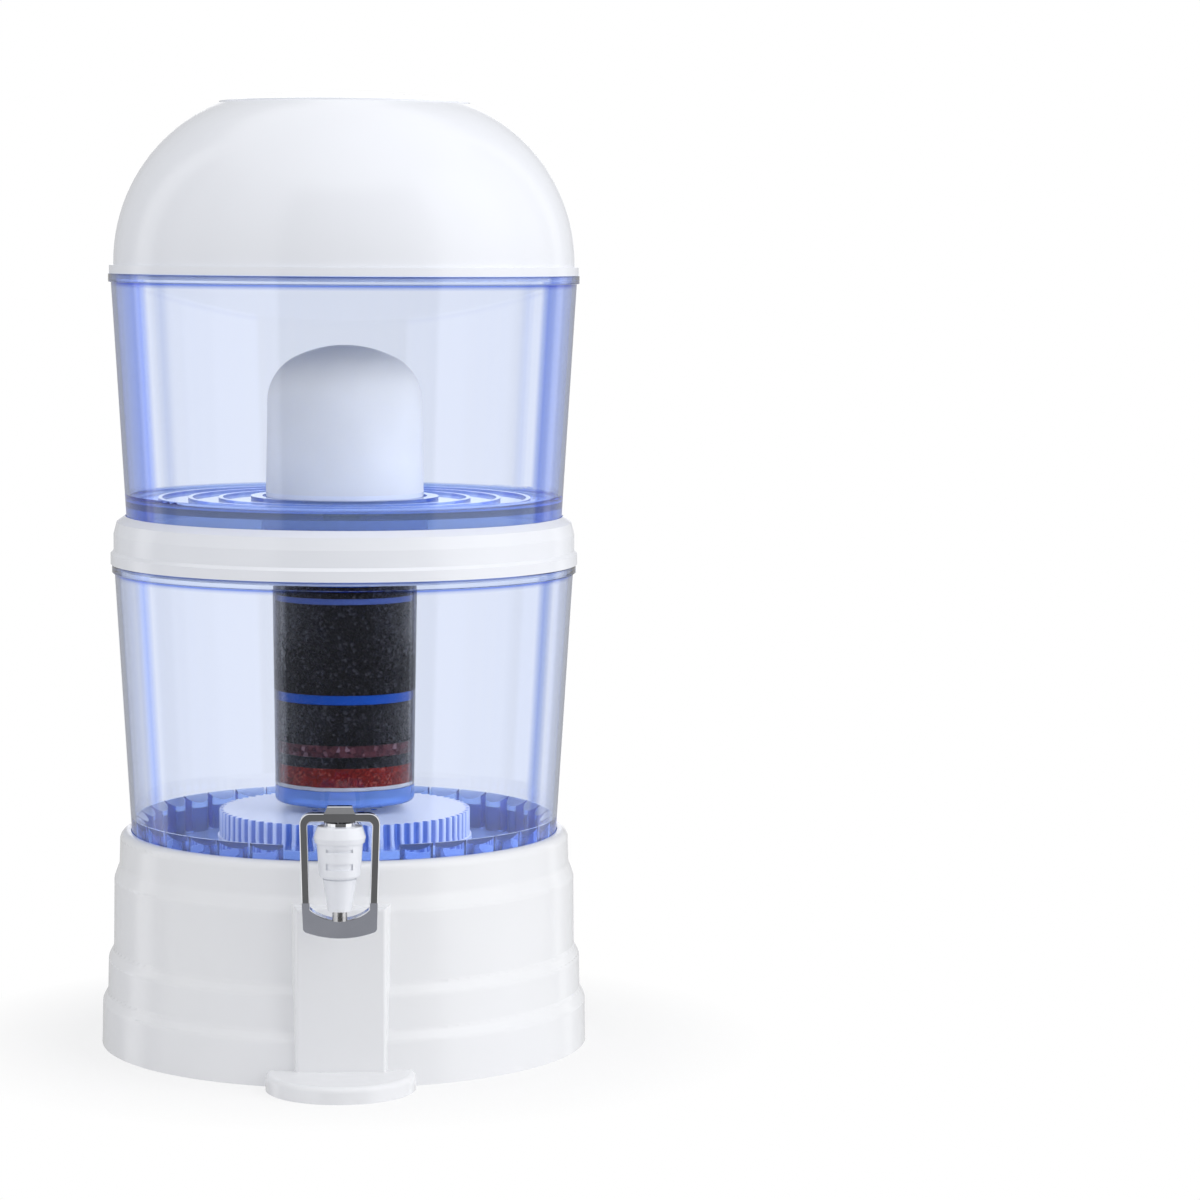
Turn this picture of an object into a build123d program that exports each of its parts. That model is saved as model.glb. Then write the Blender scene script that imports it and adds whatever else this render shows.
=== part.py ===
"""Gravity water filter: two tapered clear tanks on a stepped stand, with a ceramic dome, a layered cartridge,
a stone case and a push-lever tap. Millimetres, +Z up, origin on the table under the tanks' axis, tap towards -Y."""

import os
from math import cos, pi, radians, sin, sqrt, tan

from build123d import *

# Fits shared by several pieces
slip_gap = 0.4  # radial gap between round pieces that lift apart
thread_gap = 0.3  # radial gap of a plain stand-in for a thread
running_gap = 0.06  # radial gap of a pin or stem that turns or slides
bed_gap = 0.15  # radial gap round the layers in the cartridge
overrun = 4.0  # how far a cut runs past its face

# Tanks
tank_rim_radius = 129.5  # lower tank, outside, at the top of its wall
upper_tank_growth = 1.3  # the upper tank's rim is this much wider
tank_draft_deg = 3.44
tank_wall = 2.6
tank_floor = 3.5
tank_round = 4.0
rim_lip = 1.2
rim_lip_height = 4.8
lip_round = 0.5
flute_count = 36  # round the foot of the lower tank's wall
flute_gap_count = 3  # flutes left out behind the tap
flute_share = 0.92  # of the pitch
flute_depth = 5.5
flute_height = 17.0
flute_slope = 4.0  # rise of a flute's top to the wall
upper_tank_height = 141.8
skirt_height = 11.8  # the upper tank's wall runs this far below its floor
collar_wall = 6.5  # moulded ring round the ceramic dome's seat
collar_height = 2.2
collar_gap = 2.0
floor_rib_count = 3  # round the collar
floor_rib_width = 2.5
floor_rib_height = 1.5
boss_radius = 12.5  # flat seat for the tap in the lower tank's wall
boss_proud = 1.0
boss_gap = 1.0  # between the boss and the stand's top edge

# Stand
deck_height = 104.0
deck_thickness = 3.2
socket_depth = 16.5
base_rim_width = 6.5
base_wall = 3.0
tier_step = 3.4
tier_draft = 0.5
bottom_tier_height = 24.5
second_tier_height = 24.5
shoulder_height = 5.5
upper_shoulder_height = 8.0
deck_drop = 10.0  # from the deck down to the third tier's top
shoulder_round = 6.0
rim_round = 5.0
ledge_width = 4.0  # under the deck's edge
ledge_height = 3.0
rib_thickness = 3.0
hub_radius = 12.0
panel_width = 48.0
panel_flank = 3.0
panel_proud = 0.7
panel_round = 2.0
foot_radius = 40.3
foot_height = 9.0
foot_round = 3.0
foot_wall = 2.5

# Stone case
case_height = 24.5
case_foot_radius = 60.0
case_foot_height = 5.5
case_flange_radius = 72.0
case_flange_height = 4.5
case_wall = 2.0
knurl_count = 72
knurl_depth = 2.4
knurl_wall = 2.8
knurl_tip_share = 0.45
case_hole_count = 12
case_hole_radius = 2.0
stone_rings = 3
stone_radius = 6.0
stone_height = 10.0
stone_sides = 7
stone_chamfer = 1.8

# Cartridge, from its outlet up
case_gap = 4.7  # between the stone case and the outlet
cartridge_radius = 39.4  # outside, at the bottom
cartridge_draft_deg = 0.75
cartridge_wall = 1.2
outlet_height = 9.6
outlet_recess = 4.0
outlet_rim = 8.0
outlet_hole_count = 12
outlet_hole_radius = 1.6
outlet_pad_height = 2.2
mineral_height = 10.7
fine_carbon_height = 6.2
ball_height = 6.7
zeolite_height = 23.0
divider_height = 5.3
carbon_height = 50.8
upper_pad_height = 3.3
silica_height = 3.9
screen_height = 4.5
sponge_height = 23.1
cap_radius = 47.0
cap_height = 13.5
cap_skirt = 7.0
cap_floor = 2.5
cap_seal_height = 1.5
cap_clearance = 4.5  # from the cap's top to the upper tank's floor
nut_pocket_depth = 4.0

# Ceramic filter
ceramic_radius = 44.4
ceramic_neck_radius = 43.5
ceramic_side_height = 48.0
ceramic_height = 82.5
ceramic_crown_drop = 18.0
ceramic_shoulder = 28.0
ceramic_wall = 7.0
ceramic_plate = 2.5
ceramic_stem_radius = 8.0
ceramic_bore_radius = 4.0
gasket_radius = 24.0
gasket_height = 2.0
washer_height = 2.0
washer_overhang = 2.0
ceramic_nut_radius = 13.0
ceramic_nut_height = 5.0

# Middle ring
ring_height = 26.9
ring_flange_height = 5.8
ring_overhang = 0.7  # flange past the lower tank's rim
ring_flange_step = 1.7
ring_shoulder_height = 10.2
ring_shoulder_bulge = 1.6
ring_wall = 3.0
ring_ledge_height = 20.4
ring_ledge_width = 10.5
ring_ledge_thickness = 3.2
ring_lip_depth = 2.4
ring_lip_gap = 0.5

# Lid
lid_wall = 2.5
lid_inset = 0.6  # flange inside the upper tank's rim
lid_flange_height = 4.6
lid_step = 2.4
lid_foot_height = 6.0
dome_round = 96.6
crown_radius = 70.0
crown_step = 0.8
crown_rise = 5.4
lid_lip_depth = 3.0

# Tap
tap_standoff = 30.0  # from the stand's front panel to the tap's axis
tap_rise = 4.4  # tap body's top above the shank
tap_drop = 14.4  # tap body's bottom below the shank
tap_top_radius = 12.3
tap_bottom_radius = 10.8
tap_round = 2.0
grip_width = 14.0  # panel on the tap's front, between two grooves
grip_height = 6.0
grip_foot = 8.6  # above the body's bottom
groove_depth = 0.9
upper_groove_height = 1.8
lower_groove_height = 3.4
tap_neck_rise = 4.1
tap_neck_radius = 10.4
chamber_radius = 8.2
seat_rise = 6.0  # valve seat above the body's bottom
orifice_radius = 3.6
shank_radius = 7.0
shank_length = 17.0  # inside the tank wall's seat
shank_neck_radius = 4.3
shank_bore_radius = 3.0
tap_flange_radius = 11.5
tap_flange_height = 3.0
tap_washer_height = 2.0
tap_nut_radius = 12.0
tap_nut_height = 6.0
bonnet_radius = 13.8
bonnet_bottom_radius = 13.2
bonnet_top_radius = 11.8
bonnet_height = 8.5
bonnet_belt_height = 2.8
bonnet_round = 1.0
bonnet_roof = 2.6
nozzle_radius = 8.9
nozzle_end_radius = 6.35
nozzle_height = 17.6
nozzle_spigot_radius = 5.8
nozzle_spigot_height = 2.8
nozzle_tip_radius = 3.7
nozzle_tip_height = 5.6
nozzle_bore_radius = 2.8
nozzle_groove = 0.7
bonnet_ring_radius = 8.2
bonnet_ring_height = 2.1

# Valve
plug_radius = 5.4
plug_height = 3.0
stem_radius = 1.9
stem_tail = 1.8
stem_collar_radius = 5.6
stem_collar_height = 1.4
stem_eye_width = 3.0
stem_eye_rise = 2.4
spring_radius = 4.4
spring_wire_radius = 0.45
spring_turns = 5

# Push lever
lever_gap = 0.3
lever_width = 42.8
lever_foot_width = 40.2
lever_leg_width = 4.4
lever_depth = 6.0
lever_bar_height = 4.55
lever_corner = 6.0
lever_inner_corner = 2.4
lever_edge = 0.8
lever_leg_length = 43.0
heel_width = 16.6
heel_depth = 9.0
heel_rise = 3.75
heel_taper_deg = 27.0
heel_edge = 0.8
slot_gap = 0.3
slot_swing = 1.0
pin_radius = 1.0
pin_height_share = 0.75
pad_lean_deg = 30.0
pad_thickness = 3.2
pad_width = 39.2
pad_side_drop = 16.6
pad_drop = 20.8
pad_notch_start = 3.2
pad_notch_drop = 9.9
pad_corner = 3.5
pad_edge = 0.6

# Heights and radii that follow
draft = tan(radians(tank_draft_deg))
base_height = deck_height + socket_depth
lower_floor_z = deck_height + tank_floor
case_top_z = lower_floor_z + case_height
outlet_z = case_top_z + case_gap
layers = {
    "outlet_pad": outlet_pad_height,
    "mineral_bed": mineral_height,
    "fine_carbon_bed": fine_carbon_height,
    "ball_bed": ball_height,
    "zeolite_bed": zeolite_height,
    "divider_disc": divider_height,
    "carbon_bed": carbon_height,
    "upper_pad": upper_pad_height,
    "silica_bed": silica_height,
    "inlet_screen": screen_height,
    "inlet_sponge": sponge_height,
}
shell_z = outlet_z + outlet_height
cap_z = shell_z + sum(layers.values())
cap_top_z = cap_z + cap_height
floor_under_z = cap_top_z + cap_clearance
floor_z = floor_under_z + tank_floor
upper_seat_z = floor_under_z - skirt_height
lower_rim_z = upper_seat_z - ring_ledge_height
ring_top_z = lower_rim_z + ring_height
upper_rim_z = upper_seat_z + upper_tank_height
upper_rim_radius = tank_rim_radius + upper_tank_growth
plate_z = floor_z + gasket_height
ceramic_z = plate_z + ceramic_plate
stem_end_z = cap_z + cap_floor + cap_seal_height
tap_z = base_height + boss_gap + boss_radius
deck_under = deck_height - deck_thickness


def lower_radius(height):
    """Outside radius of the lower tank's wall at a height."""
    return tank_rim_radius - (lower_rim_z - height) * draft


def upper_radius(height):
    """Outside radius of the upper tank's wall at a height."""
    return upper_rim_radius - (upper_rim_z - height) * draft


def shell_radius(height):
    """Outside radius of the cartridge tube at a height."""
    return cartridge_radius + (height - shell_z) * tan(radians(cartridge_draft_deg))


socket_radius = lower_radius(deck_height) + slip_gap
ledge_radius = socket_radius - ledge_width
top_tier_radius = lower_radius(base_height) + slip_gap + base_rim_width
plinth_radius = top_tier_radius + 3 * tier_step
panel_front = plinth_radius + panel_proud
tap_reach = panel_front + tap_standoff
boss_front = lower_radius(tap_z + boss_radius) + boss_proud
boss_back = sqrt((lower_radius(tap_z - boss_radius) - tank_wall) ** 2 - boss_radius**2) - boss_proud
tap_top_z = tap_z + tap_rise
tap_bottom_z = tap_z - tap_drop
seat_z = tap_bottom_z + seat_rise
collar_z = seat_z + plug_height
neck_top_z = tap_top_z + tap_neck_rise
bonnet_top_z = tap_top_z + bonnet_height
ring_face_z = bonnet_top_z + bonnet_ring_height
bar_z = ring_face_z + lever_gap
bar_top_z = bar_z + lever_bar_height
pin_z = bar_z + lever_bar_height * pin_height_share
split_z = bar_z - lever_leg_length


def turned(corners, rounds=()):
    """Solid of revolution of an outline of (radius, height) corners; rounds are (corner number, radius) pairs."""
    face = make_face(Polyline(*corners, close=True))
    for number, radius in rounds:
        corner = face.vertices().sort_by_distance(Vector(*corners[number], 0))[0]
        face = fillet(corner, radius)
    return revolve(Plane.XZ * face, Axis.Z)


def disc(radius, low, high):
    """Plain disc about the Z axis."""
    return turned([(0, low), (radius, low), (radius, high), (0, high)])


def tube(outer, inner, low, high):
    """Plain washer or sleeve about the Z axis."""
    return turned([(inner, low), (outer, low), (outer, high), (inner, high)])


def across(radius, front, back):
    """Cylinder along Y at the shank's height, from a distance in front of the axis to a nearer one."""
    return Pos(0, -(front + back) / 2, tap_z) * Rot(90, 0, 0) * Cylinder(radius, front - back)


def at_tap(solid):
    """Moves a solid from the Z axis to the tap's axis."""
    return Pos(0, -tap_reach, 0) * solid


def tiers():
    """Radius, foot and top of each step of the stand, from the table up."""
    first_top = bottom_tier_height
    second_top = first_top + second_tier_height
    third_top = deck_height - deck_drop
    return [
        (plinth_radius, 0, first_top),
        (plinth_radius - tier_step, first_top + shoulder_height, second_top),
        (plinth_radius - 2 * tier_step, second_top + shoulder_height, third_top),
        (top_tier_radius, third_top + upper_shoulder_height, base_height),
    ]


def tier_outline(inset):
    """Corners of the stepped wall, drawn in by a wall's thickness."""
    corners = []
    for radius, low, high in tiers():
        corners.append((radius - inset, low))
        corners.append((radius - tier_draft - inset, high))
    return corners


def panel_block(inset):
    """Upright front panel with sloped flanks, drawn in by a wall's thickness."""
    half = panel_width / 2 - inset
    front = panel_front - inset
    back = top_tier_radius - base_wall
    top = deck_height - deck_drop + upper_shoulder_height / 2 - inset
    outline = [(-half - panel_flank, -back), (-half, -front), (half, -front), (half + panel_flank, -back)]
    return extrude(make_face(Polyline(*outline, close=True)), top)


def base():
    """Stepped hollow stand with a socket for the tank, a ledge for the deck, a front panel and a foot."""
    rounds = [(number, shoulder_round) for number in range(2, 8)] + [(8, rim_round)]
    body = turned([(0, 0)] + tier_outline(0) + [(0, base_height)], rounds)
    panel = panel_block(0)
    front_edges = panel.edges().group_by(Axis.Y)[0]
    panel = fillet(front_edges.filter_by(Axis.Z) + front_edges.group_by(Axis.Z)[-1], panel_round)
    foot = Pos(0, -plinth_radius, foot_height / 2) * Cylinder(foot_radius, foot_height)
    foot = fillet(foot.edges().group_by(Axis.Z)[-1], foot_round)
    ledge_under = deck_under - ledge_height
    hollow_top = [(top_tier_radius - base_wall, ledge_under), (0, ledge_under)]
    hollow = turned([(0, 0)] + tier_outline(base_wall)[:6] + hollow_top)
    foot_hollow_height = foot_height - foot_wall
    foot_hollow = Pos(0, -plinth_radius, foot_hollow_height / 2) * Cylinder(
        foot_radius - foot_wall, foot_hollow_height
    )
    foot_hollow -= disc(plinth_radius, 0, foot_height)
    socket_top = base_height + overrun
    socket = turned(
        [
            (0, ledge_under),
            (ledge_radius, ledge_under),
            (ledge_radius, deck_under),
            (socket_radius, deck_under),
            (socket_radius, deck_height),
            (lower_radius(socket_top) + slip_gap, socket_top),
            (0, socket_top),
        ]
    )
    return body + panel + foot - hollow - panel_block(base_wall) - foot_hollow - socket


def base_deck():
    """Plate under the tank, on the stand's ledge, with a hub and cross ribs that reach the table."""
    deck = disc(socket_radius - slip_gap, deck_under, deck_height) + disc(hub_radius, 0, deck_under)
    reach = 2 * (ledge_radius - slip_gap)
    for angle in (0, 90):
        deck += Pos(0, 0, deck_under / 2) * Rot(0, 0, angle) * Box(reach, rib_thickness, deck_under)
    return deck


def flutes():
    """Half-round columns with sloped tops round the foot of the lower tank's wall, clear of the tap."""
    pitch = 360 / flute_count
    inner = lower_radius(lower_floor_z) - tank_wall
    top = lower_floor_z + flute_height
    wall_top = top + flute_slope
    blank = turned(
        [
            (inner - 2 * flute_depth, lower_floor_z),
            (lower_radius(lower_floor_z) - tank_wall / 2, lower_floor_z),
            (lower_radius(wall_top) - tank_wall / 2, wall_top),
            (inner, wall_top),
            (inner - 2 * flute_depth, top - flute_slope),
        ]
    )
    section = Ellipse(flute_depth, inner * radians(pitch) * flute_share / 2)
    flute = blank & Pos(inner, 0, lower_floor_z) * extrude(section, flute_height + flute_slope)
    count = flute_count - flute_gap_count
    start = (flute_gap_count + 1) * pitch / 2 - 90
    return [place * flute for place in PolarLocations(0, count, start, count * pitch)]


def lower_tank():
    """Tapered clear tank that stands in the base, with flutes, a flat seat and a hole for the tap."""
    lip_z = lower_rim_z - rim_lip_height
    corners = [
        (0, deck_height),
        (lower_radius(deck_height), deck_height),
        (lower_radius(lip_z), lip_z),
        (tank_rim_radius + rim_lip, lip_z),
        (tank_rim_radius + rim_lip, lower_rim_z),
        (tank_rim_radius - tank_wall, lower_rim_z),
        (lower_radius(lower_floor_z) - tank_wall, lower_floor_z),
        (0, lower_floor_z),
    ]
    lip_rounds = [(number, lip_round) for number in (3, 4, 5)]
    tank = turned(corners, [(1, tank_round), *lip_rounds, (6, tank_round)])
    tank += flutes()
    tank += across(boss_radius, boss_front, boss_back)
    return tank - across(shank_radius + thread_gap, boss_front + overrun, boss_back - overrun)


def upper_tank():
    """Tapered clear tank with a ribbed floor, a skirt that stands in the ring and a collar round the dome's seat."""
    lip_z = upper_rim_z - rim_lip_height
    hole = ceramic_stem_radius + thread_gap
    corners = [
        (upper_radius(upper_seat_z), upper_seat_z),
        (upper_radius(lip_z), lip_z),
        (upper_rim_radius + rim_lip, lip_z),
        (upper_rim_radius + rim_lip, upper_rim_z),
        (upper_rim_radius - tank_wall, upper_rim_z),
        (upper_radius(floor_z) - tank_wall, floor_z),
        (hole, floor_z),
        (hole, floor_under_z),
        (upper_radius(floor_under_z) - tank_wall, floor_under_z),
        (upper_radius(upper_seat_z) - tank_wall, upper_seat_z),
    ]
    lip_rounds = [(number, lip_round) for number in (2, 3, 4)]
    collar_inner = ceramic_radius + collar_gap
    collar_outer = collar_inner + collar_wall
    tank = turned(corners, [*lip_rounds, (5, tank_round)])
    tank += tube(collar_outer, collar_inner, floor_z, floor_z + collar_height)
    rib_pitch = (upper_radius(floor_z) - tank_wall - collar_outer) / (floor_rib_count + 1)
    for number in range(1, floor_rib_count + 1):
        rib = collar_outer + number * rib_pitch
        tank += tube(rib + floor_rib_width / 2, rib - floor_rib_width / 2, floor_z, floor_z + floor_rib_height)
    return tank


def middle_ring():
    """Ring that sits on the lower tank's rim, centred by a lip, and carries the upper tank's skirt on a ledge."""
    flange = tank_rim_radius + rim_lip + ring_overhang
    body = flange - ring_flange_step
    lip = tank_rim_radius - tank_wall - ring_lip_gap - ring_lip_depth * draft
    mouth = upper_radius(ring_top_z) + slip_gap
    socket = upper_radius(upper_seat_z) + slip_gap
    flange_top = lower_rim_z + ring_flange_height
    shoulder_z = ring_top_z - ring_shoulder_height
    ledge_z = upper_seat_z - ring_ledge_thickness
    corners = [
        (flange, lower_rim_z),
        (flange, flange_top),
        (body, flange_top + ring_flange_step),
        (body, shoulder_z),
        ((body + mouth) / 2 + ring_shoulder_bulge, ring_top_z - ring_shoulder_height / 2 + ring_shoulder_bulge),
        (mouth, ring_top_z),
        (socket, upper_seat_z),
        (socket - ring_ledge_width, upper_seat_z),
        (socket - ring_ledge_width, ledge_z),
        (body - ring_wall, ledge_z),
        (body - ring_wall, flange_top),
        (lip - ring_wall, lower_rim_z),
        (lip - ring_wall, lower_rim_z - ring_lip_depth),
        (lip, lower_rim_z - ring_lip_depth),
        (lip, lower_rim_z),
    ]
    return turned(corners)


def crown(radius, edge_z, top_z):
    """Shallow arc from the edge of a crown up to its top on the axis."""
    rise = top_z - edge_z
    round_radius = (radius**2 + rise**2) / (2 * rise)
    middle_z = top_z - round_radius + sqrt(round_radius**2 - radius**2 / 4)
    return ThreePointArc((radius, edge_z), (radius / 2, middle_z), (0, top_z))


def lid():
    """Domed cover with a shallow raised crown, a flange on the tank's rim and a lip inside it."""
    flange = upper_rim_radius + rim_lip - lid_inset
    foot = flange - lid_step
    foot_z = upper_rim_z + lid_foot_height
    centre = foot - dome_round
    flange_z = upper_rim_z + lid_flange_height
    lip = upper_rim_radius - tank_wall - ring_lip_gap - lid_lip_depth * draft
    lip_z = upper_rim_z - lid_lip_depth

    def on_dome(radius, across_at):
        return across_at, foot_z + sqrt(radius**2 - (across_at - centre) ** 2)

    def arc(radius, start):
        slant = radius * sqrt(2) / 2
        end = (centre + radius, foot_z)
        return ThreePointArc(on_dome(radius, start), (centre + slant, foot_z + slant), end)

    inner = dome_round - lid_wall
    shoulder = on_dome(dome_round, crown_radius)
    inner_crown = crown_radius - lid_wall
    inner_shoulder = on_dome(inner, inner_crown)
    crown_z = shoulder[1] + crown_step
    top_z = crown_z + crown_rise
    inner_top_z = top_z - lid_wall
    outline = [
        crown(crown_radius, crown_z, top_z),
        Line((crown_radius, crown_z), shoulder),
        arc(dome_round, crown_radius),
        Polyline(
            (foot, foot_z),
            (foot, flange_z),
            (flange, flange_z),
            (flange, upper_rim_z),
            (lip, upper_rim_z),
            (lip, lip_z),
            (lip - lid_wall, lip_z),
            (lip - lid_wall, upper_rim_z),
            (foot - lid_wall, foot_z),
        ),
        arc(inner, inner_crown),
        crown(*inner_shoulder, inner_top_z),
        Line((0, inner_top_z), (0, top_z)),
    ]
    return revolve(Plane.XZ * make_face(outline), Axis.Z)


def dome_half(inset):
    """Half outline of the ceramic dome, drawn in by its wall."""
    top = ceramic_z + ceramic_height - inset
    side_z = ceramic_z + ceramic_side_height
    corner = (ceramic_neck_radius - inset, top - ceramic_crown_drop)
    outline = [
        Line((0, ceramic_z), (ceramic_radius - inset, ceramic_z)),
        Polyline((ceramic_radius - inset, ceramic_z), (ceramic_neck_radius - inset, side_z), corner),
        crown(*corner, top),
        Line((0, top), (0, ceramic_z)),
    ]
    face = make_face(outline)
    vertex = face.vertices().sort_by_distance(Vector(*corner, 0))[0]
    return fillet(vertex, ceramic_shoulder - inset)


def ceramic_dome():
    """Hollow ceramic candle, closed at the top and open at its plate."""
    return revolve(Plane.XZ * (dome_half(0) - dome_half(ceramic_wall)), Axis.Z)


def ceramic_base():
    """Plate under the dome with a hollow stem through the tank's floor."""
    plate = disc(ceramic_radius, plate_z, ceramic_z)
    stem = disc(ceramic_stem_radius, stem_end_z, plate_z)
    return plate + stem - disc(ceramic_bore_radius, stem_end_z - overrun, ceramic_z + overrun)


def hex_nut(radius, hole, height):
    """Six-sided nut about the Z axis, standing on the origin."""
    return extrude(RegularPolygon(radius, 6) - Circle(hole), height)


def ceramic_nut():
    """Nut that clamps the ceramic filter to the tank's floor."""
    low = floor_under_z - washer_height - ceramic_nut_height
    return Pos(0, 0, low) * hex_nut(ceramic_nut_radius, ceramic_stem_radius + running_gap, ceramic_nut_height)


def cartridge_cap():
    """Screw cap of the cartridge: a socket for the stem, a pocket for the nut and a skirt round the tube."""
    tube_top = shell_radius(cap_z) + bed_gap
    pocket = ceramic_nut_radius + washer_overhang + thread_gap
    pocket_z = cap_top_z - nut_pocket_depth
    socket = ceramic_stem_radius + thread_gap
    socket_z = cap_z + cap_floor
    corners = [
        (ceramic_bore_radius, cap_z),
        (tube_top, cap_z),
        (tube_top, cap_z - cap_skirt),
        (cap_radius, cap_z - cap_skirt),
        (cap_radius, cap_top_z),
        (pocket, cap_top_z),
        (pocket, pocket_z),
        (socket, pocket_z),
        (socket, socket_z),
        (ceramic_bore_radius, socket_z),
    ]
    return turned(corners)


def cartridge_shell():
    """Clear drafted tube from the outlet up to the cap."""
    low, high = shell_radius(shell_z), shell_radius(cap_z)
    corners = [(low - cartridge_wall, shell_z), (low, shell_z), (high, cap_z), (high - cartridge_wall, cap_z)]
    return turned(corners)


def cartridge_foot():
    """Outlet cap under the tube, recessed below, with a ring of holes."""
    foot = turned(
        [(0, outlet_z), (cartridge_radius, outlet_z), (cartridge_radius, shell_z), (0, shell_z)],
        [(1, tank_wall)],
    )
    foot -= disc(cartridge_radius - outlet_rim, outlet_z, outlet_z + outlet_recess)
    holes = PolarLocations((cartridge_radius - outlet_rim) / 2, outlet_hole_count)
    drill = Pos(0, 0, shell_z) * Cylinder(outlet_hole_radius, 2 * outlet_height)
    return foot - [place * drill for place in holes]


def layer_solids():
    """The cartridge's layers from the outlet up, each filling the tube."""
    solids = {}
    low = shell_z
    for name, height in layers.items():
        high = low + height
        inset = cartridge_wall + bed_gap
        corners = [(0, low), (shell_radius(low) - inset, low), (shell_radius(high) - inset, high), (0, high)]
        solids[name] = turned(corners)
        low = high
    return solids


case_floor_z = lower_floor_z + case_foot_height + case_wall
case_flange_z = lower_floor_z + case_foot_height + case_flange_height
case_roof_z = case_top_z - case_wall
knurl_root = case_flange_radius - knurl_depth - case_wall / 2
case_bore = knurl_root - knurl_wall
case_inner = case_bore - slip_gap - case_wall


def stone_case():
    """Round tray with a flange, open at the top."""
    wall = case_inner + case_wall
    corners = [
        (0, lower_floor_z + case_foot_height),
        (case_foot_radius - case_wall, lower_floor_z + case_foot_height),
        (case_foot_radius - case_wall, lower_floor_z),
        (case_foot_radius, lower_floor_z),
        (case_foot_radius, lower_floor_z + case_foot_height),
        (case_flange_radius, lower_floor_z + case_foot_height),
        (case_flange_radius, case_flange_z),
        (wall, case_flange_z),
        (wall, case_roof_z),
        (case_inner, case_roof_z),
        (case_inner, case_floor_z),
        (0, case_floor_z),
    ]
    return turned(corners)


def stone_case_lid():
    """Knurled screw lid of the stone case, with drip holes under the cartridge."""
    pitch = 2 * pi / knurl_count
    outline = []
    for tooth in range(knurl_count):
        for edge, radius in ((0, knurl_root), (1, knurl_root + knurl_depth)):
            for side in (-1, 1):
                turn = pitch * (tooth + edge / 2 + side * knurl_tip_share / 4)
                outline.append((radius * cos(turn), radius * sin(turn)))
    lid_height = case_top_z - case_flange_z
    cover = Pos(0, 0, case_flange_z) * extrude(make_face(Polyline(*outline, close=True)), lid_height)
    cover -= disc(case_bore, case_flange_z - overrun, case_roof_z)
    drill = Pos(0, 0, case_top_z) * Cylinder(case_hole_radius, 4 * case_wall)
    return cover - [place * drill for place in PolarLocations(cartridge_radius / 2, case_hole_count)]


def mineral_stones():
    """Rings of loose mineral stones in the case."""
    stone = extrude(RegularPolygon(stone_radius, stone_sides), stone_height)
    stone = Pos(0, 0, case_floor_z) * chamfer(stone.edges(), stone_chamfer)
    pitch = (case_inner - stone_radius) / (stone_rings + 1 / 4)
    stones = [stone]
    for ring in range(1, stone_rings + 1):
        stones += [place * stone for place in PolarLocations(pitch * ring, 6 * ring)]
    return Compound(children=stones)


def grip_grooves():
    """Two shallow grooves across the front of the tap's body, above and below its grip."""
    core = turned(
        [
            (0, tap_bottom_z),
            (tap_bottom_radius - groove_depth, tap_bottom_z),
            (tap_top_radius - groove_depth, tap_top_z),
            (0, tap_top_z),
        ]
    )
    low = tap_bottom_z + grip_foot
    on_front = (Align.CENTER, Align.MAX, Align.MIN)
    lower = Pos(0, 0, low - lower_groove_height) * Box(
        grip_width, 2 * tap_top_radius, lower_groove_height, align=on_front
    )
    upper = Pos(0, 0, low + grip_height) * Box(grip_width, 2 * tap_top_radius, upper_groove_height, align=on_front)
    return lower + upper - core


def tap_body():
    """White tap body: a chamber with a valve seat, a screwed neck, a grip and a shank through the tank wall."""
    corners = [
        (0, tap_bottom_z),
        (tap_bottom_radius, tap_bottom_z),
        (tap_top_radius, tap_top_z),
        (tap_neck_radius, tap_top_z),
        (tap_neck_radius, neck_top_z),
        (0, neck_top_z),
    ]
    body = at_tap(turned(corners, [(1, tap_round)]) - grip_grooves())
    flange_front = boss_front + tap_washer_height + tap_flange_height
    body += across(shank_neck_radius, tap_reach, flange_front)
    body += across(tap_flange_radius, flange_front, boss_front + tap_washer_height)
    shank_back = boss_back - shank_length
    body += across(shank_radius, boss_front + tap_washer_height, shank_back)
    body -= at_tap(disc(chamber_radius, seat_z, neck_top_z))
    body -= at_tap(disc(orifice_radius, tap_bottom_z, seat_z))
    body -= at_tap(disc(nozzle_spigot_radius + bed_gap, tap_bottom_z, tap_bottom_z + nozzle_spigot_height))
    return body - across(shank_bore_radius, tap_reach, shank_back)


def tap_bonnet():
    """Screw cap over the tap's neck, with a pocket for the spring and a guide hole for the stem."""
    inner = tap_neck_radius + bed_gap
    corners = [
        (inner, tap_top_z),
        (bonnet_bottom_radius, tap_top_z),
        (bonnet_radius, tap_top_z + bonnet_belt_height),
        (bonnet_top_radius, bonnet_top_z),
        (stem_radius + running_gap, bonnet_top_z),
        (stem_radius + running_gap, bonnet_top_z - bonnet_roof),
        (inner, bonnet_top_z - bonnet_roof),
    ]
    return at_tap(turned(corners, [(2, bonnet_round), (3, bonnet_round)]))


def tap_nozzle():
    """Tapered spout screwed under the body, with a narrow metal tip."""
    cone_top = tap_bottom_z - nozzle_groove
    end_z = tap_bottom_z - nozzle_height
    tip_z = end_z - nozzle_tip_height
    spigot_z = tap_bottom_z + nozzle_spigot_height
    corners = [
        (nozzle_bore_radius, tip_z),
        (nozzle_tip_radius, tip_z),
        (nozzle_tip_radius, end_z),
        (nozzle_end_radius, end_z),
        (nozzle_radius, cone_top),
        (nozzle_radius - nozzle_groove, cone_top),
        (nozzle_radius - nozzle_groove, tap_bottom_z),
        (nozzle_spigot_radius, tap_bottom_z),
        (nozzle_spigot_radius, spigot_z),
        (nozzle_bore_radius, spigot_z),
    ]
    return at_tap(turned(corners))


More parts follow.
